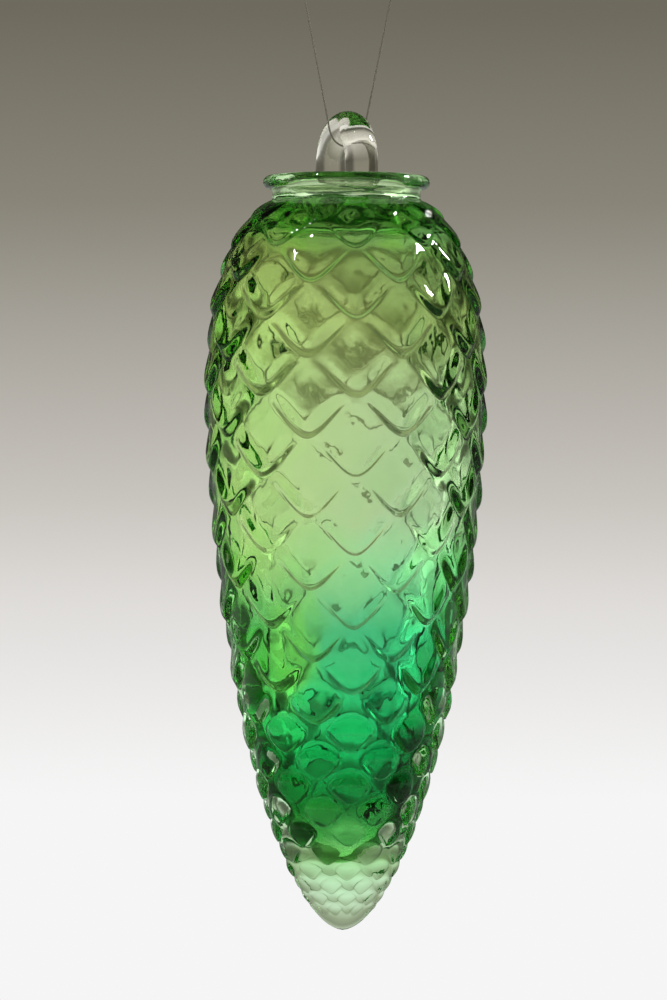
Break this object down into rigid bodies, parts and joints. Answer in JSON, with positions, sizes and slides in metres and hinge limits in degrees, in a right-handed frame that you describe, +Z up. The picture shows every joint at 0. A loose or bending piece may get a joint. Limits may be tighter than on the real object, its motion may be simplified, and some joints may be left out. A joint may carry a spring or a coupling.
{
  "type": "glass pine cone ornament",
  "caption": "Hollow blown glass pine cone with moulded overlapping scales, a flared lip and a clear glass loop, hung on a loop of thin line.",
  "frame": {"origin": "the inside top of the hanging line's loop, where the loop rests on a hook", "axes": "+Z up along the cone's axis; the glass loop's arch lies in the X-Z plane, so its hole runs along Y, and the line's V lies in the Y-Z plane"},
  "size_m": [0.0596, 0.0598, 0.2097],
  "materials": {
    "clear_glass": "mould-blown and fire-polished clear glass",
    "green_glass": "blown green glass, from olive green above through emerald to nearly clear at the tip",
    "nylon_line": "clear extruded nylon"
  },
  "bodies": {
    "line_top": {"line_top_bight": "nylon_line", "line_knot": "nylon_line"},
    "line": {"line_strands": "nylon_line"},
    "ornament": {"colour_bubble": "green_glass", "clear_casing": "clear_glass", "neck_lip": "clear_glass", "hanger_seal": "clear_glass", "hanger_loop": "clear_glass"}
  },
  "joints": [
    {"name": "line_swing", "type": "hinge", "parent": "line_top", "child": "line", "pos_m": [0, 0, -0.01254], "axis": [0, 1, 0], "range_deg": [-80, 80]},
    {"name": "ornament_rock", "type": "hinge", "parent": "line", "child": "ornament", "pos_m": [0, 0, -0.0408], "axis": [1, 0, 0], "range_deg": [-80, 80]}
  ]
}
